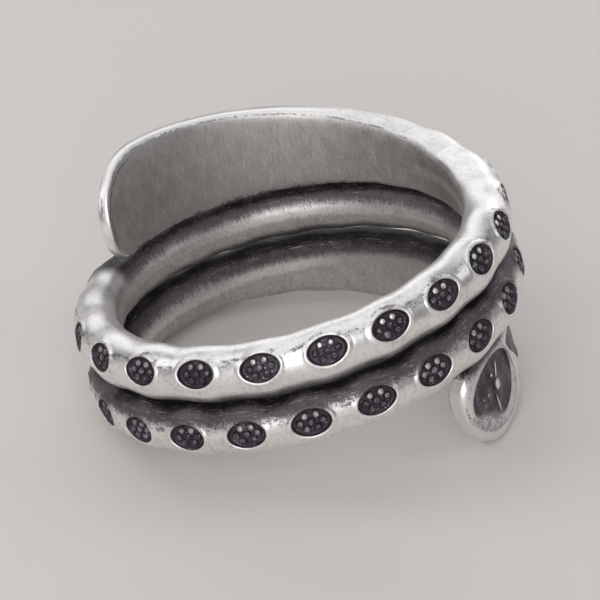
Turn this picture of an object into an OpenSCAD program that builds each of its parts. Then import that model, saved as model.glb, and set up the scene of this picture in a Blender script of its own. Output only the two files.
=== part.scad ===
// Leaf ring: a silver wire wound round the finger, its two ends flattened into leaves.
// Millimetres, +Z up, lying on its side as it rests on a table.
// Origin: middle of the footprint, on the table.

/* [Ring size] */
// Inner diameter, the finger's
finger_diameter = 17.3; // [15:0.1:21]
// Rise of the wire in one full turn
coil_pitch = 2.88; // [2.86:0.01:3.2]
// Whole angle the band winds, from leaf tip to leaf tip
wind_angle = 928.5; // [900:0.5:950]

/* [Wire] */
// Wire thickness from the finger outward
wire_depth = 2.4; // [2:0.05:2.6]
// Wire height along the finger
wire_height = 2.7; // [2.3:0.02:2.72]
// How far the wire swells at every oval and narrows between
wire_swell = 0.045; // [0:0.005:0.06]

/* [Leaves] */
// Plate thickness of a leaf where it is widest
leaf_thickness = 1.1; // [0.9:0.05:1.4]
// Plate thickness at the upper leaf's tip
upper_tip_thickness = 0.7; // [0.5:0.05:1.2]
// Plate thickness at the lower leaf's tip
lower_tip_thickness = 1.1; // [0.5:0.05:1.2]
// How far the leaf reaches past the wire's middle line on its free side
leaf_reach = 3.86; // [3:0.05:4.2]
// Angle over which the leaf narrows into the wire, from its tip
leaf_length = 150; // [130:1:160]
// Offset of the leaf tip from the wire's middle line
tip_offset = 0.65; // [0.3:0.05:1]
// Angle of the upper tip's rounding on its free side
upper_round = 27; // [16:1:34]
// Angle of the lower tip's rounding on its free side
lower_round = 17; // [16:1:34]
// Angle of both tips' rounding on the side of the next turn
near_round = 12; // [8:1:18]

/* [Ovals] */
// Angle from one oval to the next
oval_step = 16.73; // [16:0.01:18]
// Length of an oval along the wire
oval_length = 2.1; // [1.5:0.05:2.2]
// Height of an oval across the wire
oval_height = 1.5; // [1:0.02:1.6]
// Depth of an oval's floor under the crest of the wire
oval_depth = 0.28; // [0.15:0.01:0.35]
// Height of the beads over that floor
bead_rise = 0.17; // [0.08:0.01:0.25]
// Width of a bead at its foot
bead_width = 0.3; // [0.2:0.01:0.34]

/* [Leaf fields] */
// Depth of the hollows in the leaves
field_depth = 0.32; // [0.15:0.01:0.45]
// Length of the round field along the leaf
field_length = 4.5; // [3.4:0.1:4.6]
// Width of the round field across the leaf
field_width = 3.6; // [2.8:0.1:3.8]

/* [Stance] */
// Lean of the finger axis, which sets the ring on its lower leaf
lean_angle = 11.54; // [0:0.1:16]

/* [Hidden] */
// Angle of the upper leaf tip, from +X
start_angle = 159.5;
// Direction in which the finger axis leans, in the band's own frame
lean_heading = -27.17;
// Turn about the vertical that puts the lower leaf at the front right
front_turn = -21.44;
// Shift that sets the lowest points on the table and centres the footprint
set_down = [0.046, 0.034, 5.449];

inner_r = finger_diameter / 2;
leaf_r = inner_r + leaf_thickness;
half_wire = wire_height / 2;
wire_mid_r = inner_r + wire_depth / 2;
slope = atan(coil_pitch / (2 * PI * wire_mid_r));

// The middle turn stands a little off the last one here, which leaves a narrow slit
spread = 0.12;
spread_from = 480;
spread_over = 40;

// Angles along the band, 0 at the upper tip
plate_grows_until = 45;
flat_until = 55;
wire_from = 155;
reach_from = 15;
tip_rings = [0.4, 1.3, 2.8, 5, 8, 12];
tip_end = 16;
body_step = oval_step / 3;
oval_count = 41;
oval_phase = -0.75;
oval_middle = wind_angle / 2 + oval_phase;
first_oval = oval_middle - (oval_count - 1) / 2 * oval_step;
body_start = oval_middle - body_step * floor((oval_middle - tip_end) / body_step);
body_count = floor((wind_angle - tip_end - body_start) / body_step) + 1;

sides = 14;
oval_sides = 12;
bead_sides = 5;
ring_beads = 6;
// Half sizes of the ring of beads, as shares of the oval's height and length
bead_ring = [0.26, 0.28];
// Width of an oval's floor and of its punch above the wire, as shares of the oval
floor_taper = 0.8;
punch_flare = 1.08;
punch_rise = 0.3;
sink = 0.03;
// How square the section of a leaf is, and how thin its very tip
leaf_squareness = 1.6;
tip_share = 0.6;
tip_thins_over = 4;
narrowing_power = 1.4;
silver = [0.80, 0.79, 0.77];

function clamp01(x) = min(1, max(0, x));
function ease(x) = let (c = clamp01(x)) c * c * (3 - 2 * c);
function round_off(x) = sqrt(1 - pow(1 - clamp01(x), 2));
function bump(x) = exp(-x * x);
function signed_power(x, p) = sign(x) * pow(abs(x), p);

// Angle from the nearer leaf tip
function from_tip(a) = min(a, wind_angle - a);
// 1 in a leaf, 0 in the round wire
function flatness(e) = 1 - ease((e - flat_until) / (wire_from - flat_until));
function swell(a) = wire_swell * cos(360 * (a - oval_middle) / oval_step)
    * (1 - flatness(from_tip(a)));
function band_angle(a) = start_angle - a;
function band_z(a) = coil_pitch * (wind_angle / 2 - a) / 360
    + spread / 3 * bump((a - spread_from) / spread_over)
    - spread * bump((a - spread_from - 360) / spread_over);
function plate(a) = let (tip = is_upper(a) ? upper_tip_thickness : lower_tip_thickness)
    tip + (leaf_thickness - tip) * ease(from_tip(a) / plate_grows_until);
function band_depth(a) = let (e = from_tip(a))
    (wire_depth + (plate(a) - wire_depth) * flatness(e))
        * (tip_share + (1 - tip_share) * round_off(e / tip_thins_over)) + swell(a);

// Reach of the section on the free side and on the side of the next turn
function free_reach(a) = let (
    e = from_tip(a),
    narrowing = pow(cos(90 * clamp01((e - reach_from) / (leaf_length - reach_from))), narrowing_power),
    full = half_wire + (leaf_reach - half_wire) * narrowing
) tip_offset + (full - tip_offset) * round_off(e / (is_upper(a) ? upper_round : lower_round)) + swell(a);
function near_reach(a) =
    -tip_offset + (half_wire + tip_offset) * round_off(from_tip(a) / near_round) + swell(a);
function is_upper(a) = a < wind_angle / 2;
function top_z(a) = band_z(a) + (is_upper(a) ? free_reach(a) : near_reach(a));
function bottom_z(a) = band_z(a) - (is_upper(a) ? near_reach(a) : free_reach(a));
function middle_z(a) = (top_z(a) + bottom_z(a)) / 2;

// One point of the section: a circle in the wire, squarer in the leaves
function section_point(a, turn) = let (
    power = 2 / (2 + leaf_squareness * flatness(from_tip(a))),
    depth = band_depth(a),
    r = inner_r + depth / 2 * (1 + signed_power(cos(turn), power)),
    z = middle_z(a) + (top_z(a) - bottom_z(a)) / 2 * signed_power(sin(turn), power)
) [r * cos(band_angle(a)), r * sin(band_angle(a)), z];

ring_angles = concat(
    tip_rings,
    [for (i = [0 : body_count - 1]) body_start + i * body_step],
    [for (i = [len(tip_rings) - 1 : -1 : 0]) wind_angle - tip_rings[i]]
);

// The plain band, before anything is punched into it
module band_blank() {
    last = len(ring_angles) - 1;
    points = [for (a = ring_angles) for (j = [0 : sides - 1]) section_point(a, 360 * j / sides)];
    walls = [for (i = [0 : last - 1]) for (j = [0 : sides - 1]) let (k = (j + 1) % sides)
        each [
            [i * sides + j, (i + 1) * sides + k, i * sides + k],
            [i * sides + j, (i + 1) * sides + j, (i + 1) * sides + k]
        ]];
    start_cap = [[for (j = [0 : sides - 1]) j]];
    end_cap = [[for (j = [sides - 1 : -1 : 0]) last * sides + j]];
    polyhedron(points, concat(walls, start_cap, end_cap), convexity = 10);
}

// Faces its children outward from a place on the band: Z out, Y along, X down
module on_band(a, r, z, roll = 0) {
    rotate([0, 0, band_angle(a)])
        translate([r, 0, z])
            rotate([slope, -roll, 0])
                rotate([0, 90, 0])
                    children();
}

module oval_disc(length, height) {
    scale([height / length, 1, 1]) cylinder(d = length, h = 0.01, $fn = oval_sides);
}

// How far round the wire an oval sits: high on the upper turn, level on the lower
high_oval = 25;
low_oval = 4;
roll_from = 300;
roll_until = 550;
function oval_roll(a) = (1 - flatness(from_tip(a)))
    * (high_oval + (low_oval - high_oval) * clamp01((a - roll_from) / (roll_until - roll_from)));

module on_wire(a) {
    depth = band_depth(a);
    roll = oval_roll(a);
    on_band(a, inner_r + depth / 2, middle_z(a), roll)
        translate([0, 0, depth / 2])
            children();
}

module oval_punch() {
    hull() {
        translate([0, 0, -oval_depth]) oval_disc(oval_length * floor_taper, oval_height * floor_taper);
        translate([0, 0, punch_rise]) oval_disc(oval_length * punch_flare, oval_height * punch_flare);
    }
}

module bead() {
    translate([0, 0, -oval_depth - sink])
        cylinder(d1 = bead_width, d2 = 0, h = bead_rise + sink, $fn = bead_sides);
}

module oval_beads() {
    bead();
    for (i = [0 : ring_beads - 1]) let (t = 360 * (i + 0.5) / ring_beads)
        translate([oval_height * bead_ring[0] * cos(t), oval_length * bead_ring[1] * sin(t), 0]) bead();
}

// The round field near each leaf tip and the tapering hollow behind it
field_from_tip = 17.5;
field_offset = 1.25;
blade_from_tip = [37.5, 50, 84];
blade_offset = [1.15, 1.1, 0.55];
blade_length = [1.2, 2.4, 0.7];
blade_width = [2.6, 3.1, 0.7];
// Floor of the round field, as a share of the hollows' depth, and the flare of their walls
field_share = 0.85;
leaf_floor_taper = 0.88;
leaf_flare = 1.1;
leaf_undercut = 0.2;

// Relief in the round field; a place is an angle from the tip and an offset to the free side
bead_place = [17.8, 1.15];
bead_size = [0.32, 0.25, 0.17];
rib_places = [[19, 0.45], [16.8, 2.15]];
rib_lengths = [1.04, 1.22];
rib_turns = [-18.4, 9.5];
rib_section = [0.12, 0.17];
rib_sink = 0.1;
dot_places = [[15.6, 0.48], [12.1, 1.24], [9.2, 1.24]];
dot_size = [0.26, 0.17];
dot_sink = 0.07;

// A place on a leaf's outer face: X towards its free side, Y away from its tip
module on_leaf(e, r, offset, upper) {
    a = upper ? e : wind_angle - e;
    on_band(a, r, band_z(a) + (upper ? offset : -offset))
        rotate([0, 0, upper ? 180 : 0])
            children();
}

module leaf_disc(length, width) {
    translate([0, 0, -field_depth - leaf_undercut])
        oval_disc(length * leaf_floor_taper, width * leaf_floor_taper);
    translate([0, 0, punch_rise]) oval_disc(length * leaf_flare, width * leaf_flare);
}

// Keeps only what lies outside a floor that follows the leaf's bend
module above_floor(r) {
    difference() {
        children();
        cylinder(r = r, h = 40, center = true, $fn = 96);
    }
}

function plate_near(e, upper) = plate(upper ? e : wind_angle - e);

module leaf_cuts(upper) {
    field_r = inner_r + plate_near(field_from_tip, upper);
    above_floor(field_r - field_depth * field_share)
        hull() on_leaf(field_from_tip, field_r, field_offset, upper)
            leaf_disc(field_length, field_width);
    above_floor(leaf_r - field_depth)
        hull() for (i = [0 : 2])
            on_leaf(blade_from_tip[i], leaf_r, blade_offset[i], upper)
                leaf_disc(blade_length[i], blade_width[i]);
}

// The long bead in the middle of the field, its two ribs and the dots beside it
module leaf_relief(upper) {
    floor_r = inner_r + plate_near(field_from_tip, upper) - field_depth * field_share;
    on_leaf(bead_place[0], floor_r, bead_place[1], upper)
        scale(bead_size) sphere(r = 1, $fn = 10);
    for (i = [0 : 1])
        on_leaf(rib_places[i][0], floor_r, rib_places[i][1], upper)
            translate([0, 0, rib_section[1] / 2 - rib_sink])
                rotate([0, 0, rib_turns[i]])
                    cube([rib_lengths[i], rib_section[0], rib_section[1]], center = true);
    for (place = dot_places)
        on_leaf(place[0], floor_r, place[1], upper)
            translate([0, 0, -dot_sink])
                cylinder(d1 = dot_size[0], d2 = 0, h = dot_size[1], $fn = bead_sides);
}

module wrap_band() {
    color(silver)
    translate(set_down)
    rotate([0, 0, front_turn])
    rotate([0, -lean_angle, 0])
    rotate([0, 0, -lean_heading])
    union() {
        difference() {
            band_blank();
            for (i = [0 : oval_count - 1]) on_wire(first_oval + i * oval_step) oval_punch();
            leaf_cuts(true);
            leaf_cuts(false);
        }
        for (i = [0 : oval_count - 1]) on_wire(first_oval + i * oval_step) oval_beads();
        leaf_relief(true);
        leaf_relief(false);
    }
}

wrap_band();
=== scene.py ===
import math
import random

import bpy
import numpy as np
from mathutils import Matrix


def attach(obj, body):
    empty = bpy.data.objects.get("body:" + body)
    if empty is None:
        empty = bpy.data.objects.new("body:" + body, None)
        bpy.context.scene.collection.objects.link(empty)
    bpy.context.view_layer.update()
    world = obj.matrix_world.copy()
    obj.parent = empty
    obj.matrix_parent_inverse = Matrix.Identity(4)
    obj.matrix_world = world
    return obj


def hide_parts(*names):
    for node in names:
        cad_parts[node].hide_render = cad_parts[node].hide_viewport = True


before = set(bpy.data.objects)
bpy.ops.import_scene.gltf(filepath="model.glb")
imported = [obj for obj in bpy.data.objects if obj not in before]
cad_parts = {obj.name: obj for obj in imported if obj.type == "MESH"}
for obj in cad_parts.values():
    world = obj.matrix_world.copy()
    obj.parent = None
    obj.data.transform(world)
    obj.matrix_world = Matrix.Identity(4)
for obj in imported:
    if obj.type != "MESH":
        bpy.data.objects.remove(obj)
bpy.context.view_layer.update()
print("frame loaded:", ", ".join(sorted(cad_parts)))

# The wire and how it is wound, in millimetres and degrees;
# angles along the band start at the upper leaf's tip
band = {
    "fingerDiameter": 17.3,
    "coilPitch": 2.88,
    "windAngle": 928.5,
    "wireDepth": 2.4,
    "wireHeight": 2.7,
    "wireSwell": 0.045,
    "slitWidth": 0.12,      # the middle turn stands off the last one here
    "slitFrom": 488.0,
    "slitSpread": 31.0,
    "startAngle": 159.5,
    "handRipple": 0.0025,   # unevenness that the hammer left
    "rippleLengths": (2.2, 8),
    "rippleWaves": 5,
    "rippleFade": 6.0,      # it dies away this near a leaf's tip
    "seed": 7,
}

# The two flattened ends
leaf = {
    "thickness": 1.1,
    "upperTipThickness": 0.7,
    "lowerTipThickness": 1.1,
    "tipThinUntil": 45.0,
    "tipShare": 0.6,        # of its thickness, right at the tip
    "tipShareUntil": 4.0,
    "reach": 3.86,
    "length": 150.0,
    "reachFrom": 15.0,
    "narrowing": 1.4,       # power of the cosine by which it narrows into the wire
    "tipOffset": 0.65,
    "upperRound": 27.0,
    "lowerRound": 17.0,
    "nearRound": 12.0,
    "flatUntil": 55.0,
    "lowerPlateUntil": 28.0,    # the lower leaf thickens sooner
    "wireFrom": 155.0,
    "squareness": 1.6,
    "innerSquareness": 4.2,
    "creaseUntil": 135.0,   # the inner face keeps its upper edge this far
    "creaseFade": 35.0,
}

# How the ring rests on the table
stance = {
    "lean": 11.54,
    "leanHeading": -27.17,
    "frontTurn": -21.44,
    "setDown": (0.046, 0.034, 5.449),
}

innerRadius = band["fingerDiameter"] / 2
leafRadius = innerRadius + leaf["thickness"]
halfWire = band["wireHeight"] / 2
lastAngle = band["windAngle"]
middle = lastAngle / 2
mmToMetres = 0.001


def clamp01(x):
    return np.clip(x, 0, 1)


def ease(x):
    c = clamp01(x)
    return c * c * (3 - 2 * c)


def roundOff(x):
    return np.sqrt(1 - (1 - clamp01(x)) ** 2)


def hump(x):
    return np.exp(-x * x)


def signedPower(x, power):
    return np.sign(x) * np.abs(x) ** power


# The stamped ovals
oval = {
    "step": 16.73,
    "count": 41,
    "phase": -0.75,
    "halfSize": (0.98, 0.69),
    "flatShare": 0.55,      # how much flatter the floor is than the wire
    "flatFrom": -0.015,
    "flatFade": 0.035,
    # how far round the wire the ovals sit above its middle, as (angle along the band, degrees)
    "rolls": (
        (142, 0), (150, 2), (178, 23), (186, 25), (315, 25), (345, 20), (400, 7), (425, 4),
        (490, 5), (530, 14), (550, 13), (570, 9), (600, 4), (660, 0), (740, -1), (786, 0),
    ),
    # where the hand strayed from even steps, as (angle, millimetres, spread of angle)
    "strays": ((370.0, 0.68, 75.0), (520.0, -0.35, 18.0)),
    "shift": 0.025,         # spread of the stamp's place from blow to blow
    "twist": 2.5,
    "depths": (0.9, 1.08),
    "holdUntil": 0.3,       # a blow moves nothing past this ring
    "holdFade": 0.15,
    "grains": 6,
    "grainRadius": 0.20,
    "grainHeight": 0.165,
    "grainRing": (0.56, 0.38),
    "grainWear": 0.40,
    "topGrainWearAndHighlight": 0.48,   # more wear, with a painted highlight, on the grains of the upper side, which catch the light from above
    "mostWornAt": 158.0,    # angle along the band of the side where they are worn most
    "leastWear": 0.58,      # share of their wear on the other side
    "darkUntil": -0.02,
    "darkness": 1.0,
    "growth": 1.0,          # how fast a ring grows across, against along
    "edgeLift": 0.0,
    # rings of the tile, outward and inward from the oval's edge, as (distance from it, lift)
    "outside": (
        (0.025, 0.026), (0.07, 0.050), (0.13, 0.036),
        (0.19, 0.004), (0.26, -0.012), (0.34, -0.002),
    ),
    "inside": (
        (-0.025, -0.06), (-0.05, -0.17), (-0.085, -0.235),
        (-0.14, -0.26), (-0.35, -0.27), (-0.58, -0.27),
    ),
    # a darker ring in the dent round the lip: how much, where and how wide
    "trace": (0.34, 0.23, 0.06),
}
ovalMiddle = middle + oval["phase"]
firstOval = ovalMiddle - (oval["count"] - 1) / 2 * oval["step"]
outerShare = 0.97   # of the wire's depth, where lengths along it are measured
mmPerDegree = math.radians(innerRadius + band["wireDepth"] * outerShare)


def fromTip(a):
    return np.minimum(a, lastAngle - a)


def isUpper(a):
    return a < middle


def thickening(a, flatUntil):
    # nothing on the leaf, 1 on the wire
    return ease((fromTip(a) - flatUntil) / (leaf["wireFrom"] - flatUntil))


def flatness(a):
    return 1 - thickening(a, leaf["flatUntil"])


def straying(a):
    return sum(far * hump((a - at) / spread) for at, far, spread in oval["strays"]) / mmPerDegree


def stampCount(a):
    # whole at every oval, a half between two
    return (a - straying(a - straying(a)) - firstOval) / oval["step"]


def swell(a):
    return band["wireSwell"] * np.cos(2 * np.pi * stampCount(a)) * (1 - flatness(a))


def plate(a):
    tip = np.where(isUpper(a), leaf["upperTipThickness"], leaf["lowerTipThickness"])
    full = tip + (leaf["thickness"] - tip) * ease(fromTip(a) / leaf["tipThinUntil"])
    flatUntil = np.where(isUpper(a), leaf["flatUntil"], leaf["lowerPlateUntil"])
    return full + (band["wireDepth"] - full) * thickening(a, flatUntil)


def bandDepth(a):
    rounded = roundOff(fromTip(a) / leaf["tipShareUntil"])
    return plate(a) * (leaf["tipShare"] + (1 - leaf["tipShare"]) * rounded) + swell(a)


def bandHeight(a):
    climb = band["coilPitch"] * (middle - a) / 360
    past, spread = a - band["slitFrom"], band["slitSpread"]
    return climb + band["slitWidth"] * (hump(past / spread) / 3 - hump((past - 360) / spread))


def freeReach(a):
    # from the wire's middle line to the side on which the leaf is free
    e = fromTip(a)
    narrowed = clamp01((e - leaf["reachFrom"]) / (leaf["length"] - leaf["reachFrom"]))
    wide = np.cos(np.pi / 2 * narrowed) ** leaf["narrowing"]
    full = halfWire + (leaf["reach"] - halfWire) * wide
    rounding = np.where(isUpper(a), leaf["upperRound"], leaf["lowerRound"])
    return leaf["tipOffset"] + (full - leaf["tipOffset"]) * roundOff(e / rounding) + swell(a)


def nearReach(a):
    full = halfWire + leaf["tipOffset"]
    return full * roundOff(fromTip(a) / leaf["nearRound"]) - leaf["tipOffset"] + swell(a)


def bandEdges(a):
    # lowest and highest point of the section
    upper, free, near = isUpper(a), freeReach(a), nearReach(a)
    return bandHeight(a) - np.where(upper, near, free), bandHeight(a) + np.where(upper, free, near)


def squareness(a):
    # power of the section's outline: 1 is round, smaller is squarer
    return 2 / (2 + leaf["squareness"] * flatness(a))


def innerSquareness(a):
    crisp = 1 - ease((fromTip(a) - leaf["creaseUntil"]) / leaf["creaseFade"])
    return 2 / (2 + leaf["innerSquareness"] * crisp)


def ovalRoll(a):
    return np.interp(a, *zip(*oval["rolls"]))


def turnFlat(degrees):
    c, s = math.cos(math.radians(degrees)), math.sin(math.radians(degrees))
    return np.array([[c, -s, 0], [s, c, 0], [0, 0, 1]])


def windOnFinger(a, out, rise):
    # from the straight bar to the ring as it lies on the table
    way, radius = np.radians(band["startAngle"] - a), innerRadius + out
    place = np.stack([radius * np.cos(way), radius * np.sin(way), rise], axis=-1)
    c, s = math.cos(math.radians(stance["lean"])), math.sin(math.radians(stance["lean"]))
    leanOver = np.array([[c, 0, -s], [0, 1, 0], [s, 0, c]])
    turned = turnFlat(stance["frontTurn"]) @ leanOver @ turnFlat(-stance["leanHeading"])
    return place @ turned.T + np.array(stance["setDown"])


# The tiles that the outer side of the band is laid from
tile = {
    "side": 18,             # edges along each side of a tile
    "halfTurn": 55.0,       # a tile reaches this far round the section, up and down
    "backRows": 20,         # rows round the rest of the section
    "tipColumns": 8,
    "neckColumns": 14,
    "joinRing": 0.6,        # the two outermost rings of a tile while it is still flat
    "rimRing": 0.9,
    "plainRing": 2.0,       # what points of no tile and points of a grain are marked with
    "grainRing": -1.0,
    "darkFade": 0.03,
    "wornFrom": -0.08,      # a floor worn in the middle is so from this ring
    "wornFade": 0.6,
}
# Where a leaf's two hollows lie between its tip and the wire
leafZones = {"dishFrom": 0.9, "dishTo": 32.0, "bladeTo": 92.0}
# The ridge between a leaf's two hollows is bowed like the end of the first one
ridge = {
    "middle": 1.9,          # height over the wire's middle line where it is furthest from the tip
    "halfHeight": 2.4,
    "bow": 0.86,
    "mostShift": 10.6,
}
side = tile["side"]
tileRise = math.sin(math.radians(tile["halfTurn"]))
rowTurns = np.degrees(np.arcsin(tileRise * np.linspace(-1, 1, side + 1)))


def deselectAll():
    if bpy.context.object and bpy.context.object.mode != "OBJECT":
        bpy.ops.object.mode_set(mode="OBJECT")
    bpy.ops.object.select_all(action="DESELECT")


def activate(*objects):
    deselectAll()
    for thing in objects:
        thing.select_set(True)
    bpy.context.view_layer.objects.active = objects[0]


def readPoints(obj):
    points = np.empty(len(obj.data.vertices) * 3)
    obj.data.vertices.foreach_get("co", points)
    return points.reshape(-1, 3)


def writePoints(obj, points):
    obj.data.vertices.foreach_set("co", np.ascontiguousarray(points, dtype=np.float64).ravel())
    obj.data.update()


def selectVerts(obj, chosen):
    bpy.ops.object.mode_set(mode="OBJECT")
    obj.data.polygons.foreach_set("select", np.zeros(len(obj.data.polygons), dtype=bool))
    obj.data.edges.foreach_set("select", np.zeros(len(obj.data.edges), dtype=bool))
    obj.data.vertices.foreach_set("select", np.ascontiguousarray(chosen, dtype=bool))
    bpy.ops.object.mode_set(mode="EDIT")


def storeFloat(obj, name, values):
    layer = obj.data.attributes.get(name) or obj.data.attributes.new(name, "FLOAT", "POINT")
    layer.data.foreach_set("value", np.ascontiguousarray(values, dtype=np.float32))


def readFloat(obj, name):
    values = np.zeros(len(obj.data.vertices), dtype=np.float32)
    obj.data.attributes[name].data.foreach_get("value", values)
    return values


def storeVector(obj, name, columns):
    layer = obj.data.attributes.get(name) or obj.data.attributes.new(name, "FLOAT_VECTOR", "POINT")
    layer.data.foreach_set("vector", np.stack(columns, axis=-1).astype(np.float32).ravel())


def ringSize(form, ring):
    return form["halfSize"][0] + ring, form["halfSize"][1] + ring * form["growth"]


def ringOf(points, form):
    # how far outside the stamp's edge a point lies, below zero inside, and its way round the stamp
    low = np.full(len(points), -0.999 * form["halfSize"][1] / form["growth"])
    high = np.full(len(points), 3.0)
    for halving in range(30):
        guess = (low + high) / 2
        along, across = ringSize(form, guess)
        beyond = np.hypot(points[:, 0] / along, points[:, 1] / across) > 1
        low, high = np.where(beyond, guess, low), np.where(beyond, high, guess)
    return guess, np.arctan2(points[:, 1] / across, points[:, 0] / along)


def extrudeRings(form, levels):
    ring, lift = 0, form["edgeLift"]
    for nextRing, nextLift in levels:
        bpy.ops.mesh.extrude_region_move(TRANSFORM_OT_translate={"value": (0, 0, nextLift - lift)})
        sizes = zip(ringSize(form, nextRing), ringSize(form, ring))
        grow = [after / before for after, before in sizes]
        bpy.ops.transform.resize(value=(*grow, 1), center_override=(0, 0, 0))
        ring, lift = nextRing, nextLift


def pressTile(name, form):
    # a round blank, pushed in ring by ring; its two outermost rings are fitted to the band later
    deselectAll()
    bpy.ops.mesh.primitive_circle_add(vertices=4 * side, radius=1)
    pressed = bpy.context.object
    pressed.name = name
    bpy.ops.object.mode_set(mode="EDIT")
    bpy.ops.mesh.select_mode(type="VERT")
    bpy.ops.mesh.select_all(action="SELECT")
    bpy.ops.transform.resize(value=(*form["halfSize"], 1))
    bpy.ops.transform.translate(value=(0, 0, form["edgeLift"]))
    extrudeRings(form, form["inside"])
    bpy.ops.mesh.extrude_region_move()
    bpy.ops.mesh.merge(type="CENTER")
    bpy.ops.object.mode_set(mode="OBJECT")
    selectVerts(pressed, np.abs(ringOf(readPoints(pressed), form)[0]) < 0.001)
    extrudeRings(form, (*form["outside"], (tile["joinRing"], 0), (tile["rimRing"], 0)))
    bpy.ops.object.mode_set(mode="OBJECT")
    ring, way = ringOf(readPoints(pressed), form)
    storeFloat(pressed, "ring", ring)
    tarnish = form["darkness"] * (1 - ease((ring - form["darkUntil"]) / tile["darkFade"]))
    if "wornMiddle" in form:
        worn = form["wornMiddle"] * ease((tile["wornFrom"] - ring) / tile["wornFade"])
        tarnish = tarnish * (1 - worn)
    if "trace" in form:
        share, at, spread = form["trace"]
        tarnish = tarnish + share * hump((ring - at) / spread)
    storeFloat(pressed, "tarnish", tarnish)
    return pressed


def dome(place, halfSizes, worn, fineness=2, turn=0, sink=0.04):
    # a grain: a ball cut flat a little under the floor it stands on, worn brighter at its top
    deselectAll()
    bpy.ops.mesh.primitive_ico_sphere_add(subdivisions=fineness, radius=1)
    grain = bpy.context.object
    bpy.ops.object.mode_set(mode="EDIT")
    bpy.ops.mesh.select_all(action="SELECT")
    cut = (0, 0, -sink / halfSizes[2])
    bpy.ops.mesh.bisect(plane_co=cut, plane_no=(0, 0, 1), use_fill=True, clear_inner=True)
    bpy.ops.object.mode_set(mode="OBJECT")
    ball = readPoints(grain)
    storeFloat(grain, "ring", np.full(len(ball), tile["grainRing"]))
    storeFloat(grain, "tarnish", 1 - worn * ease((ball[:, 2] - 0.2) / 0.7))
    writePoints(grain, (ball * np.array(halfSizes)) @ turnFlat(turn).T + np.array(place))
    return grain


def joinPieces(name, pieces):
    activate(*pieces)
    bpy.ops.object.join()
    bpy.context.object.name = name
    return bpy.context.object


def copyOf(template, name):
    made = template.copy()
    made.data = template.data.copy()
    made.name = name
    bpy.context.collection.objects.link(made)
    return made


def leanColumns(e, turn):
    # columns of the leaf, bowed with the ridge; e is counted from the leaf's tip
    top, bottom = freeReach(e), -nearReach(e)
    level = signedPower(np.sin(np.radians(turn)), squareness(e))
    up = (top + bottom) / 2 + (top - bottom) / 2 * level
    offMiddle = (up - ridge["middle"]) / ridge["halfHeight"]
    shift = ridge["mostShift"] * np.tanh(ridge["bow"] * offMiddle ** 2)
    start, bend, end = leafZones["dishFrom"], leafZones["dishTo"], leafZones["bladeTo"]
    share = np.minimum(clamp01((e - start) / (bend - start)), clamp01((end - e) / (end - bend)))
    return e - shift * share


def layTile(template, form, name, toStrip, left, right):
    # places a copy of a tile on the flat strip and squares its rim up to its neighbours
    laid = copyOf(template, name)
    points = readPoints(laid)
    ring, way = ringOf(points, form)
    strip = toStrip(points)
    step = (np.round(way / (np.pi / 2) * side).astype(int) + side // 2) % (4 * side)
    edge, part = step // side, step % side / side
    there, back = 0 * part, 1 - part
    turnAt = lambda share: np.degrees(np.arcsin(tileRise * (2 * share - 1)))
    leftward, rightward = right + (left - right) * part, left + (right - left) * part
    angle = np.choose(edge, [right + there, leftward, left + there, rightward])
    turn = np.choose(edge, [turnAt(part), turnAt(there + 1), turnAt(back), turnAt(there)])
    if form is not oval:
        angle = leanColumns(angle, turn)
    rim = np.stack([angle, turn, there], axis=-1)
    tag, skirt = readFloat(laid, "ring"), form["outside"][-1]
    outer, joining = np.abs(tag - tile["rimRing"]) < 0.1, np.abs(tag - tile["joinRing"]) < 0.1
    along, across = ringSize(form, skirt[0])
    last = np.stack([along * np.cos(way), across * np.sin(way), there + skirt[1]], axis=-1)
    strip[joining] = (toStrip(last)[joining] + rim[joining]) / 2
    strip[outer] = rim[outer]
    writePoints(laid, strip)
    return laid


def plainPatch(name, columns, turns):
    # an unstamped stretch of the strip, with its edges where its neighbours have theirs
    deselectAll()
    across, up = len(columns) - 1, len(turns) - 1
    bpy.ops.mesh.primitive_grid_add(x_subdivisions=across, y_subdivisions=up, size=2)
    patch = bpy.context.object
    patch.name = name
    points = readPoints(patch)
    a = np.array(columns)[np.round((points[:, 0] + 1) / 2 * across).astype(int)]
    turn = np.array(turns)[np.round((points[:, 1] + 1) / 2 * up).astype(int)]
    lowerLeaned = lastAngle - leanColumns(lastAngle - a, -turn)
    leaned = np.where(isUpper(a), leanColumns(a, turn), lowerLeaned)
    writePoints(patch, np.stack([leaned, turn, 0 * a], axis=-1))
    storeFloat(patch, "ring", np.full(len(points), tile["plainRing"]))
    storeFloat(patch, "tarnish", np.zeros(len(points)))
    return patch


# One stamped oval with its grains, modelled once
ovalTile = pressTile("ovalTile", oval)
grainSize = (oval["grainRadius"], oval["grainRadius"], oval["grainHeight"])
floorLift = oval["inside"][-1][1]
grains = [dome((0, 0, floorLift), grainSize, oval["grainWear"])]
for i in range(oval["grains"]):
    way = 2 * math.pi * (i + 0.5) / oval["grains"]
    spot = (oval["grainRing"][0] * math.sin(way), oval["grainRing"][1] * math.cos(way), floorLift)
    # the upper grains are lightened for wear and as a painted highlight
    wear = oval["grainWear"] + oval["topGrainWearAndHighlight"] * max(0, math.cos(way))
    grains.append(dome(spot, grainSize, wear))
ovalTile = joinPieces("ovalTile", [ovalTile, *grains])
print("oval stamp:", len(ovalTile.data.polygons), "faces")

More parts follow.
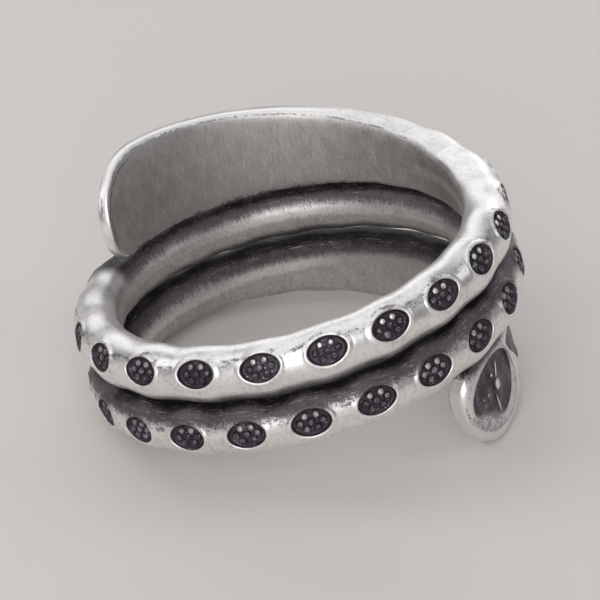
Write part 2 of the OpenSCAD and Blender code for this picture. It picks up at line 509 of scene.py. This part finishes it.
# The two hollows of a leaf: places are counted along the leaf from its tip,
# and across it from the wire's middle line to the free side
dish = {
    "centre": (2.99, 1.25),
    "halfSize": (2.34, 1.6),
    "growth": 1.15,
    "turn": -2.4,
    "bevelTurn": -8.0,      # the bevel is turned a little further than the floor
    "tipward": 0.20,        # and reaches further on the tip's side
    "edgeLift": -0.165,
    "outside": ((0.02, -0.155), (0.17, -0.085), (0.31, -0.014), (0.36, 0.0)),
    "inside": (
        (-0.03, -0.19), (-0.10, -0.205), (-0.30, -0.215),
        (-0.60, -0.22), (-0.95, -0.225), (-1.25, -0.225),
    ),
    "darkUntil": 0.0,
    "darkness": 1.0,
    "wornWay": (-0.55, 0.84),
    "wornFrom": (0.66, 0.84),
    "wornSpeckle": 0.40,    # tarnish left where it is worn, out to the bevel's edge
    "trace": (0.40, 0.33, 0.05),
    "reliefLift": -0.22,
    "reliefFineness": 3,
    # relief as (place, half sizes, turn, wear): the long bead, its two ribs and three dots
    "relief": (
        ((0.03, -0.10), (0.22, 0.33, 0.19), 12.0, 1.0),
        ((0.24, -0.80), (0.045, 0.50, 0.08), 18.4, 0.9),
        ((-0.13, 0.90), (0.055, 0.64, 0.10), -9.5, 0.95),
        ((-0.34, -0.77), (0.10, 0.10, 0.10), 0.0, 0.8),
        ((-0.93, -0.01), (0.10, 0.10, 0.08), 0.0, 0.6),
        ((-1.43, -0.01), (0.09, 0.09, 0.06), 0.0, 0.45),
    ),
}
blade = {
    "centre": 9.78,
    "halfSize": (4.2, 1.6),
    "growth": 1.0,
    "taper": 0.4,
    "bluntness": 0.75,
    "mostBlunt": 3.0,
    "offsets": (1.15, 0.8), # height of its middle over the wire's, at each end
    "slant": 0.85,          # the blunt end falls back towards the free side
    "slantFrom": 0.6,
    "edgeLift": -0.01,
    "outside": ((0.03, -0.003), (0.07, 0.0)),
    "inside": (
        (-0.03, -0.03), (-0.09, -0.065), (-0.18, -0.085),
        (-0.35, -0.10), (-0.65, -0.11), (-1.1, -0.115),
    ),
    "darkUntil": -0.03,
    "darkness": 1.25,
    "wornMiddle": 0.25,     # how much of it is gone from the floor
}
dishTile = pressTile("dishTile", dish)
relief = []
for place, size, turn, wear in dish["relief"]:
    relief.append(dome((*place, dish["reliefLift"]), size, wear, dish["reliefFineness"], turn))
worn = readPoints(dishTile)[:, :2] / np.array(dish["halfSize"]) @ np.array(dish["wornWay"])
wornFrom, wornTo = dish["wornFrom"]
wornShare = ease((worn - wornFrom) / (wornTo - wornFrom))
speckle = dish["wornSpeckle"] * (readFloat(dishTile, "ring") < dish["outside"][-1][0] - 0.01)
tarnish = readFloat(dishTile, "tarnish") * (1 - wornShare) + speckle * wornShare
storeFloat(dishTile, "tarnish", tarnish)
dishTile = joinPieces("dishTile", [dishTile, *relief])
bladeTile = pressTile("bladeTile", blade)
print("leaf hollows:", len(dishTile.data.polygons), "and", len(bladeTile.data.polygons), "faces")


def turnOnLeaf(a, height):
    # the turn round the section at which a leaf's outer face has this height
    bottom, top = bandEdges(a)
    level = np.clip((height - (top + bottom) / 2) / np.maximum((top - bottom) / 2, 1e-6), -1, 1)
    return np.degrees(np.arcsin(signedPower(level, 1 / squareness(a))))


def leafStrip(along, up, lift, lower):
    # a leaf's place counted from its own tip; the lower leaf is the upper one turned round
    e = np.degrees(along / leafRadius)
    a = lastAngle - e if lower else e
    turn = turnOnLeaf(a, bandHeight(a) + (-up if lower else up))
    return np.stack([e, -turn if lower else turn, lift], axis=-1)


def dishStrip(points, lower):
    x, y, lift = points.T
    share = clamp01(ringOf(points, dish)[0] / dish["outside"][-1][0])
    turn = np.radians(dish["turn"] + dish["bevelTurn"] * share)
    along = np.cos(turn) * x + np.sin(turn) * y - dish["tipward"] * share
    up = np.cos(turn) * y - np.sin(turn) * x
    return leafStrip(dish["centre"][0] + along, dish["centre"][1] + up, lift, lower)


def bladeStrip(points, lower):
    # a long drop: blunt beside the ridge, pointed towards the wire
    x, y, lift = points.T
    share = x / blade["halfSize"][0]
    tall = np.maximum(np.abs(y) / blade["halfSize"][1], 0.001)
    blunt = np.minimum(tall ** (-blade["bluntness"] * clamp01(-share)), blade["mostBlunt"])
    start, end = blade["offsets"]
    up = start + (end - start) * clamp01((share + 1) / 2)
    up = up + y * blunt * (1 - blade["taper"] * clamp01(share))
    x = x + blade["slant"] * np.maximum(up - blade["slantFrom"], 0) * clamp01(-share)
    strip = leafStrip(blade["centre"] + x, up, lift, lower)
    strip[:, 0] = leanColumns(strip[:, 0], strip[:, 1])
    return strip


def ovalStrip(points, centre, blow):
    # one blow of the stamp, a little off in place, turn and depth
    x, y, lift = points.T
    ring, way = ringOf(points, oval)
    hold = clamp01((oval["holdUntil"] - ring) / oval["holdFade"])
    c, s = np.cos(hold * blow["twist"]), np.sin(hold * blow["twist"])
    x, y = c * x - s * y + hold * blow["x"], s * x + c * y + hold * blow["y"]
    turn = np.degrees(np.arcsin(np.clip(y / halfWire, -0.99, 0.99)))
    fallAway = band["wireDepth"] / 2 * (1 - np.cos(np.radians(turn)))
    flat = oval["flatShare"] * fallAway * ease((oval["flatFrom"] - ring) / oval["flatFade"])
    return np.stack([centre + x / mmPerDegree, turn, lift * blow["depth"] + flat], axis=-1)


chance = random.Random(band["seed"])
ovalPlaces = firstOval + np.arange(oval["count"]) * oval["step"]
ovalPlaces = ovalPlaces + straying(ovalPlaces)
halfStep = oval["step"] / 2
between = (ovalPlaces[1:] + ovalPlaces[:-1]) / 2
tileEdges = np.concatenate([[ovalPlaces[0] - halfStep], between, [ovalPlaces[-1] + halfStep]])
strips = []
for i, at in enumerate(ovalPlaces):
    blow = {
        "x": chance.uniform(-1, 1) * oval["shift"],
        "y": chance.uniform(-1, 1) * oval["shift"],
        "twist": math.radians(chance.uniform(-1, 1) * oval["twist"]),
        "depth": chance.uniform(*oval["depths"]),
    }
    toStrip = lambda points: ovalStrip(points, at, blow)
    laid = layTile(ovalTile, oval, f"oval{i}", toStrip, *tileEdges[i:i + 2])
    facing = (1 + math.cos(math.radians(at - oval["mostWornAt"]))) / 2
    wearShare = oval["leastWear"] + (1 - oval["leastWear"]) * facing
    tarnish = readFloat(laid, "tarnish")
    onGrain = np.abs(readFloat(laid, "ring") - tile["grainRing"]) < 0.1
    storeFloat(laid, "tarnish", np.where(onGrain, 1 - (1 - tarnish) * wearShare, tarnish))
    strips.append(laid)

ovalEnds = (tileEdges[0], lastAngle - tileEdges[-1])
backColumns = []
for lower in (False, True):
    dishFrom, dishTo, bladeTo = leafZones.values()
    zones = [
        dishFrom * np.linspace(0, 1, tile["tipColumns"] + 1) ** 2,
        np.linspace(dishFrom, dishTo, side + 1),
        np.linspace(dishTo, bladeTo, side + 1),
        np.linspace(bladeTo, ovalEnds[lower], tile["neckColumns"] + 1),
    ]
    own = (lambda columns: lastAngle - columns[::-1]) if lower else (lambda columns: columns)
    toDish = lambda points: dishStrip(points, lower)
    toBlade = lambda points: bladeStrip(points, lower)
    hollows = [
        layTile(dishTile, dish, "dish", toDish, dishFrom, dishTo),
        layTile(bladeTile, blade, "blade", toBlade, dishTo, bladeTo),
    ]
    if lower:
        for hollow in hollows:
            writePoints(hollow, readPoints(hollow) * (-1, -1, 1) + (lastAngle, 0, 0))
    strips += hollows
    strips.append(plainPatch("tip", own(zones[0]), rowTurns))
    strips.append(plainPatch("neck", own(zones[3]), rowTurns))
    backColumns.append(own(np.concatenate([zones[0], *(zone[1:] for zone in zones[1:])])))
countedSteps = np.arange(1, oval["count"] * side) / side
ovalColumns = np.interp(countedSteps, np.arange(oval["count"] + 1), tileEdges)
backColumns = np.concatenate([backColumns[0], ovalColumns, backColumns[1]])
backTurns = np.linspace(tile["halfTurn"], 360 - tile["halfTurn"], tile["backRows"] + 1)
strips.append(plainPatch("back", backColumns, backTurns))
for template in (ovalTile, dishTile, bladeTile):
    bpy.data.objects.remove(template)
wrap = joinPieces("leafRing", strips)
print("strip laid:", len(wrap.data.polygons), "faces")


def handRipple(along, turn):
    # the slight unevenness of hammered wire, the same whichever way round the section it is read
    ripple = 0 * along
    for wave in range(band["rippleWaves"]):
        length = chance.uniform(*band["rippleLengths"])
        around = chance.choice((0, 1, 2, 3))
        start = chance.uniform(0, 6.3)
        phase = 2 * np.pi * along / length + around * np.radians(turn) + start
        ripple = ripple + np.sin(phase)
    return band["handRipple"] * ripple


# Where one turn shelters the next, along the band; the darkening begins with a thin smear
shelter = {"from": 358.0, "fade": 8.0, "smear": 0.38, "smearAt": 351.0, "smearSpread": 7.0}


def windStrip(strip):
    # bends the flat strip round the finger and notes, point by point, what the finish needs to know
    a, turn, lift = readPoints(strip).T
    roll = ovalRoll(a)
    turned = np.radians(turn + roll)
    power = np.where(np.cos(turned) < 0, innerSquareness(a), squareness(a))
    bottom, top = bandEdges(a)
    level = signedPower(np.sin(turned), power)
    out = bandDepth(a) / 2 * (1 + signedPower(np.cos(turned), power))
    rise = (top + bottom) / 2 + (top - bottom) / 2 * level
    along = a * mmPerDegree
    ripple = handRipple(along, turn + roll) * roundOff(fromTip(a) / band["rippleFade"])
    out = out + lift * np.cos(np.radians(roll)) + ripple * np.cos(turned)
    rise = rise + lift * np.sin(np.radians(roll)) + ripple * np.sin(turned)
    fromOval = np.abs(stampCount(a) - np.round(stampCount(a))) * oval["step"] * mmPerDegree
    smear = shelter["smear"] * hump((a - shelter["smearAt"]) / shelter["smearSpread"])
    turnAbove = np.maximum(ease((a - shelter["from"]) / shelter["fade"]), smear)
    turnBelow = ease((lastAngle - 360 - a) / shelter["fade"])
    aboveMiddle = rise - bandHeight(a)
    cosTurn, sinTurn = np.cos(np.radians(turn)), np.sin(np.radians(turn))
    storeVector(strip, "barPlace", (along, out, aboveMiddle))
    storeVector(strip, "aroundPlace", (cosTurn, sinTurn, fromOval))
    heightShare = np.clip(aboveMiddle / halfWire, -1.3, 1.3)
    storeVector(strip, "shelter", (turnAbove, turnBelow, heightShare))
    storeFloat(strip, "leafShare", flatness(a))
    freeSide = np.where(isUpper(a), top - rise, rise - bottom)
    storeFloat(strip, "fromRim", np.minimum(freeSide, np.radians(fromTip(a)) * leafRadius))
    writePoints(strip, windOnFinger(a, out, rise))


windStrip(wrap)
activate(wrap)
bpy.ops.object.mode_set(mode="EDIT")
bpy.ops.mesh.select_all(action="SELECT")
bpy.ops.mesh.remove_doubles(threshold=0.001)
bpy.ops.mesh.dissolve_degenerate(threshold=0.0005)
bpy.ops.mesh.select_all(action="SELECT")
bpy.ops.mesh.normals_make_consistent(inside=False)
bpy.ops.object.mode_set(mode="OBJECT")
writePoints(wrap, readPoints(wrap) * mmToMetres)
bpy.ops.object.shade_smooth()
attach(wrap, "root")
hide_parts("wrap_band")
print("ring wound:", len(wrap.data.vertices), "points,", len(wrap.data.polygons), "faces")


class Signal:
    # a shader socket whose sums and products become Math nodes

    def __init__(self, bench, socket):
        self.bench = bench
        self.socket = socket

    def join(self, operation, first, second):
        return self.bench.add("ShaderNodeMath", {"operation": operation}, {0: first, 1: second})

    def __add__(self, other):
        return self.join("ADD", self, other)

    def __radd__(self, other):
        return self.join("ADD", other, self)

    def __sub__(self, other):
        return self.join("SUBTRACT", self, other)

    def __rsub__(self, other):
        return self.join("SUBTRACT", other, self)

    def __mul__(self, other):
        return self.join("MULTIPLY", self, other)

    def __rmul__(self, other):
        return self.join("MULTIPLY", other, self)

    def atLeast(self, other):
        return self.join("MAXIMUM", self, other)

    def step(self, low, high):
        # 0 below low, 1 above high, smooth between
        sockets = {0: self, 1: low, 2: high, 3: 0.0, 4: 1.0}
        return self.bench.add("ShaderNodeMapRange", {"interpolation_type": "SMOOTHSTEP"}, sockets)

    def nearZero(self, low, high, ragged=0.0):
        # 1 near zero, and 0 where the square is above high
        return 1 - (self * self - ragged).step(low, high)


class Bench:
    # one material and the nodes on it

    def __init__(self, name):
        self.material = bpy.data.materials.new(name)
        self.material.use_nodes = True
        self.tree = self.material.node_tree
        self.tree.nodes.clear()

    def add(self, kind, settings=None, sockets=None, output=0):
        node = self.tree.nodes.new(kind)
        for key, value in (settings or {}).items():
            setattr(node, key, value)
        for key, value in (sockets or {}).items():
            if isinstance(value, Signal):
                self.tree.links.new(value.socket, node.inputs[key])
            else:
                node.inputs[key].default_value = value
        return Signal(self, node.outputs[output])

    def finish(self, shader):
        out = self.tree.nodes.new("ShaderNodeOutputMaterial")
        self.tree.links.new(shader.socket, out.inputs["Surface"])
        return self.material

    def attribute(self, name, output="Vector"):
        return self.add("ShaderNodeAttribute", {"attribute_name": name}, output=output)

    def parts(self, vector):
        node = self.add("ShaderNodeSeparateXYZ", {}, {0: vector}).socket.node
        return [Signal(self, socket) for socket in node.outputs]

    def noise(self, vector, stretch, scale, detail, roughness):
        settings = {"operation": "MULTIPLY"}
        stretched = self.add("ShaderNodeVectorMath", settings, {0: vector, 1: stretch})
        sockets = {"Vector": stretched, "Scale": scale, "Detail": detail, "Roughness": roughness}
        return self.add("ShaderNodeTexNoise", {}, sockets)

    def mix(self, share, first, second):
        sockets = {0: share, 6: first, 7: second}
        return self.add("ShaderNodeMix", {"data_type": "RGBA"}, sockets, output=2)


# Finish of the silver, lengths in millimetres; pairs are where something begins and is complete
finish = {
    "silver": (0.90, 0.885, 0.87, 1),
    "dull": (0.64, 0.625, 0.615, 1),
    # the inner faces' two colours, darker than the silver: a painted reflection of darker
    # surroundings, mixed by the brushed unevenness
    "inside": (0.58, 0.565, 0.55, 1),
    "insideDullShade": (0.37, 0.355, 0.345, 1),
    "graphite": (0.30, 0.28, 0.30, 1),
    "black": (0.050, 0.042, 0.054, 1),
    "smoke": (0.110, 0.093, 0.106, 1),
    "soot": (0.020, 0.016, 0.020, 1),
    "polish": 0.31,
    "satin": 0.54,
    "tarnishRoughness": 0.42,
    # each as (stretch along the wire, outward and upward), scale, detail, roughness
    "noises": {
        "blotch": ((1.0, 1.0, 1.0), 1.1, 4.0, 0.55),
        "speck": ((1.0, 1.0, 1.0), 5.0, 4.0, 0.65),
        "fine": ((1.0, 1.0, 1.0), 13.0, 3.0, 0.6),
        "streak": ((0.35, 5.0, 5.0), 2.6, 4.0, 0.6),
        "brush": ((7.0, 1.0, 0.5), 2.2, 4.0, 0.65),
        "patchy": ((0.8, 1.6, 1.6), 1.7, 3.0, 0.6),
    },
    # round the section, as cosines of the turn
    "outerSide": (-0.25, 0.15),
    "outOfInside": (-0.6, 0.1),
    "outOfInnerFace": (-0.68, -0.48),
    "lineLow": 0.38,        # tarnish line between ovals, above their middle
    "lineLift": 0.46,       # and how much higher it passes over an oval
    "lineSpan": 0.85,
    "gapAboveLine": (-0.02, 0.26),
    "gapInside": (0.20, 0.58),
    "gapUnderneath": (0.82, 0.97),
    "feather": 0.42,        # how far the brush drew the tarnish's border on the inside
    "scratches": 0.22,
    "smudge": 0.85,
    "smudgePatches": (0.46, 0.62),
    "creaseShadeFromRim": 0.42,  # painted shade along the crease inside a leaf's rim
    "edgeShadeLine": 0.56,       # the broken line of painted shade on the inner face's edge, as a cosine of the turn
    "edgeShadeDarkness": 0.62,
    "stampBorder": (0.34, 0.52),
    "sparks": (0.655, 0.70),        # bright points in the ovals
    "sparkShare": 0.8,
    "mottle": 1.1,          # unevenness of the ovals' black
    "rimWear": (0.15, 0.7), # from a leaf's rim inward
    "wear": (0.36, 0.60),
    # how much of that painted darker reflection the inner faces take
    "innerShadeShare": 0.85,
    "litStrip": 0.78,       # painted highlight: how much less dull the inner coils are along their middle, where they reflect light
    "litAt": 0.14,
    "leafSatin": 0.5,
    "lipSatin": 0.55,       # in patches on the ovals' lips
    "lipAt": 0.07,
    "grainHeight": 0.000003,
    "scratchHeight": 0.000004,
    "brushHeight": 0.000018,
    "dentHeight": 0.000008,
}


def agedSilver():
    bench = Bench("agedSilver")
    barPlace = bench.attribute("barPlace")
    along = bench.parts(barPlace)[0]
    cosTurn, sinTurn, fromOval = bench.parts(bench.attribute("aroundPlace"))
    turnAbove, turnBelow, level = bench.parts(bench.attribute("shelter"))
    stamped, ring, leafShare, fromRim = [
        bench.attribute(name, "Fac") for name in ("tarnish", "ring", "leafShare", "fromRim")
    ]
    blotch, speck, fine, streak, brush, patchy = [
        bench.noise(barPlace, *kind) for kind in finish["noises"].values()
    ]
    grit = (speck - 0.5) * 0.8 + (fine - 0.5) * 0.8
    ragged = (blotch - 0.5) * 0.6 + grit
    feather = (brush - 0.5) * finish["feather"]
    outside = cosTurn.step(*finish["outerSide"])
    inner = 1 - cosTurn.step(*finish["outOfInside"])
    bare = 1 - leafShare.step(0.1, 0.5)

    # the tarnish line, up and down round the wire from the middle of the ovals
    around = bench.add("ShaderNodeMath", {"operation": "ARCTAN2"}, {0: sinTurn, 1: cosTurn})
    near = fromOval * (1 / finish["lineSpan"])
    over = bench.add("ShaderNodeMath", {"operation": "EXPONENT"}, {0: near * near * -1})
    aboveLine = around * halfWire - (finish["lineLow"] + over * finish["lineLift"])

    # tarnish in the gaps between the turns
    gapTop = outside * (aboveLine + ragged * 1.1).step(*finish["gapAboveLine"]) * bare
    gapTopInside = (level + ragged * 0.5 + feather).step(*finish["gapInside"])
    gapBottom = (level * -1 + ragged * (0.15 + inner * 0.45)).step(*finish["gapUnderneath"])
    gaps = (turnAbove * gapTop).atLeast(turnAbove * gapTopInside).atLeast(turnBelow * gapBottom)
    scratched = (streak + grit * 0.15).step(0.58, 0.68) * finish["scratches"]

    # smudges along the tarnish line, and two broken lines of painted shade on the leaves, on a
    # crease and on the inner face's edge
    smudge = (patchy + grit * 0.35 - over * 0.06).step(*finish["smudgePatches"])
    smudge = smudge * aboveLine.nearZero(0.0, 0.08, grit * 0.16) * outside * bare
    # painted shade: a broken dark line along the crease inside the upper leaf's rim, near its tip
    creaseShade = (fromRim - finish["creaseShadeFromRim"]).nearZero(0.0005, 0.004)
    creaseShade = creaseShade * (1 - cosTurn.step(-0.6, -0.2)) * (1 - along.step(2.5, 5.0))
    creaseShade = creaseShade * blotch.step(0.44, 0.52) * speck.step(0.35, 0.55)
    # painted shade: a broken dark line on the leaf's inner face edge
    edgeShadeLine = (cosTurn + finish["edgeShadeLine"]).nearZero(0.001, 0.012, grit * 0.012)
    edgeShadeLine = edgeShadeLine * (blotch + grit * 0.6).step(0.40, 0.60) * leafShare.step(0.0, 0.3)
    # gap tarnish and smudges, with the painted shade lines, all in the tarnish colours
    tarnishAndShade = (gaps * (1 - scratched)).atLeast(smudge * finish["smudge"])
    tarnishAndShade = tarnishAndShade.atLeast(edgeShadeLine * finish["edgeShadeDarkness"]).atLeast(creaseShade)

    # black in the stamps
    stampDark = stamped * 1.05 + grit * (1.1 + leafShare * 0.6 - stamped)
    spark = fine.step(*finish["sparks"]) * bare * finish["sparkShare"]
    stampDark = stampDark.step(*finish["stampBorder"]) * (1 - spark)
    dark = tarnishAndShade.atLeast(stampDark)

    # clean metal, brighter on a leaf's rim; inside the ring darker, a painted reflection of darker
    # surroundings over the brushed unevenness
    brushed = brush * 0.5 + blotch * 0.2 + speck * 0.15 + fine * 0.15 + (1.2 - fromRim) * 0.03
    clean = speck * 0.5 + blotch * 0.3 + brush * 0.2
    clean = clean + leafShare * inner * (brushed - clean)
    rimWear = (1 - fromRim.step(*finish["rimWear"])) * leafShare.step(0.5, 0.9)
    wear = (clean + bare * 0.04 + rimWear * 0.12).step(*finish["wear"])
    metal = bench.mix(wear, finish["dull"], finish["silver"])
    # a painted highlight strip along the inner coils' middle, where they reflect light
    lit = (level + feather + grit * 0.25 - finish["litAt"]).nearZero(0.0, 0.08)
    lit = lit * (1 - leafShare.step(0.0, 0.3))
    # the inner faces darkened as a painted reflection of darker surroundings
    innerFace = 1 - cosTurn.step(*finish["outOfInnerFace"])
    innerShade = innerFace * (finish["innerShadeShare"] - lit * finish["litStrip"])
    innerShadedMetal = bench.mix(clean.step(0.36, 0.62), finish["insideDullShade"], finish["inside"])
    metal = bench.mix(innerShade, metal, innerShadedMetal)

    deep = aboveLine.step(0.3, 1.2) * outside + level.step(0.55, 1.0) * inner
    sooty = (deep * 0.8 - grit * 1.3 - (blotch - 0.5)).step(-0.1, 0.85)
    gapColour = bench.mix(sooty, finish["smoke"], finish["soot"])
    mottle = (grit + (patchy - 0.5) * 1.2) * (1 - leafShare) * finish["mottle"]
    cleaner = leafShare * (speck * 0.5 + (fine - 0.5) * 0.6) + mottle
    blackness = (stamped + (blotch - 0.5) * 0.9 - cleaner).step(0.35, 0.85)
    stampColour = bench.mix(blackness, finish["graphite"], finish["black"])
    colour = bench.mix(stampDark, bench.mix(tarnishAndShade, metal, gapColour), stampColour)

    satin = blotch.step(0.35, 0.65) * 0.25 + inner * 0.3 + speck.step(0.4, 0.8) * 0.15
    satin = satin + leafShare.step(0.0, 0.35) * (1 - rimWear) * finish["leafSatin"]
    onLip = (ring - finish["lipAt"]).nearZero(0.002, 0.009)
    satin = satin + onLip * patchy.step(0.36, 0.56) * finish["lipSatin"]
    roughness = finish["polish"] + (finish["satin"] - finish["polish"]) * satin
    roughness = roughness + dark * (finish["tarnishRoughness"] - roughness)

    heights = (
        (fine + speck, finish["grainHeight"]),
        (streak * (1 - leafShare), finish["scratchHeight"]),
        (brush * leafShare, finish["brushHeight"]),
        (blotch, finish["dentHeight"]),
    )
    normal = None
    for height, distance in heights:
        sockets = {"Height": height, "Distance": distance, "Strength": 1.0}
        if normal:
            sockets["Normal"] = normal
        normal = bench.add("ShaderNodeBump", {}, sockets)
    sockets = {
        "Base Color": colour,
        "Metallic": 1 - dark * 0.5,
        "Roughness": roughness,
        "Specular IOR Level": 0.3,
        "Normal": normal,
    }
    return bench.finish(bench.add("ShaderNodeBsdfPrincipled", {}, sockets))


wrap.data.materials.clear()
wrap.data.materials.append(agedSilver())

# The table, the lamps and the camera, in metres and degrees
studio = {
    "floorColour": (0.70, 0.67, 0.64, 1),
    "floorSize": 1.2,
    "floorNoise": ((1.0, 1.0, 1.0), 9.0, 3.0, 0.55),
    "cloudShade": 0.93,     # how dark the floor's faint clouds are
    "worldColour": (0.15, 0.15, 0.16, 1),
    "lampAim": (0, 0, 0.005),
    "lamps": {
        "ceiling": {"place": (-0.04, 0.02, 0.36), "size": (0.46, 0.44), "power": 0.52},
        "back": {"place": (-0.06, 0.36, 0.21), "size": (0.70, 0.24), "power": 0.56},
        "corner": {"place": (0.19, 0.35, 0.065), "size": (0.28, 0.13), "power": 0.13},
        "right": {"place": (0.30, -0.02, 0.20), "size": (0.20, 0.20), "power": 0.15},
        "left": {"place": (-0.30, -0.02, 0.20), "size": (0.22, 0.20), "power": 0.20},
        "front": {"place": (-0.05, -0.33, 0.17), "size": (0.36, 0.30), "power": 0.75},
    },
    "eye": (0.00008, -0.153226, 0.096807),
    "cameraElevation": 30.85,
    "cameraRoll": -2.42,
    "lens": 219.02,
}


def layFloor():
    deselectAll()
    bpy.ops.mesh.primitive_plane_add(size=studio["floorSize"])
    floor = bpy.context.object
    floor.name = "floor"
    bench = Bench("paleTable")
    place = bench.add("ShaderNodeTexCoord", {}, output="Object")
    cloudy = bench.noise(place, *studio["floorNoise"])
    clouded = (*(c * studio["cloudShade"] for c in studio["floorColour"][:3]), 1)
    colour = bench.mix(cloudy * 0.25, studio["floorColour"], clouded)
    shader = bench.add("ShaderNodeBsdfPrincipled", {}, {"Base Color": colour, "Roughness": 0.75})
    floor.data.materials.append(bench.finish(shader))


def hangLamp(name, lamp):
    data = bpy.data.lights.new(name, "AREA")
    data.shape = "RECTANGLE"
    data.size, data.size_y = lamp["size"]
    data.energy = lamp["power"]
    hung = bpy.data.objects.new(name, data)
    bpy.context.collection.objects.link(hung)
    hung.location = lamp["place"]
    x, y, z = np.array(lamp["place"]) - np.array(studio["lampAim"])
    hung.rotation_euler = (math.atan2(math.hypot(x, y), z), 0, math.atan2(y, x) + math.pi / 2)


def setCamera():
    data = bpy.data.cameras.new("camera")
    data.lens = studio["lens"]
    data.sensor_width = 36
    data.clip_start = 0.01
    camera = bpy.data.objects.new("camera", data)
    bpy.context.collection.objects.link(camera)
    camera.location = studio["eye"]
    camera.rotation_mode = "ZYX"
    tilt = math.radians(90 - studio["cameraElevation"])
    camera.rotation_euler = (tilt, 0, math.radians(studio["cameraRoll"]))
    bpy.context.scene.camera = camera


layFloor()
for name, lamp in studio["lamps"].items():
    hangLamp(name, lamp)
world = bpy.data.worlds.new("studio")
world.use_nodes = True
world.node_tree.nodes["Background"].inputs["Color"].default_value = studio["worldColour"]
bpy.context.scene.world = world
bpy.context.scene.view_settings.view_transform = "Standard"
setCamera()
print("studio set")
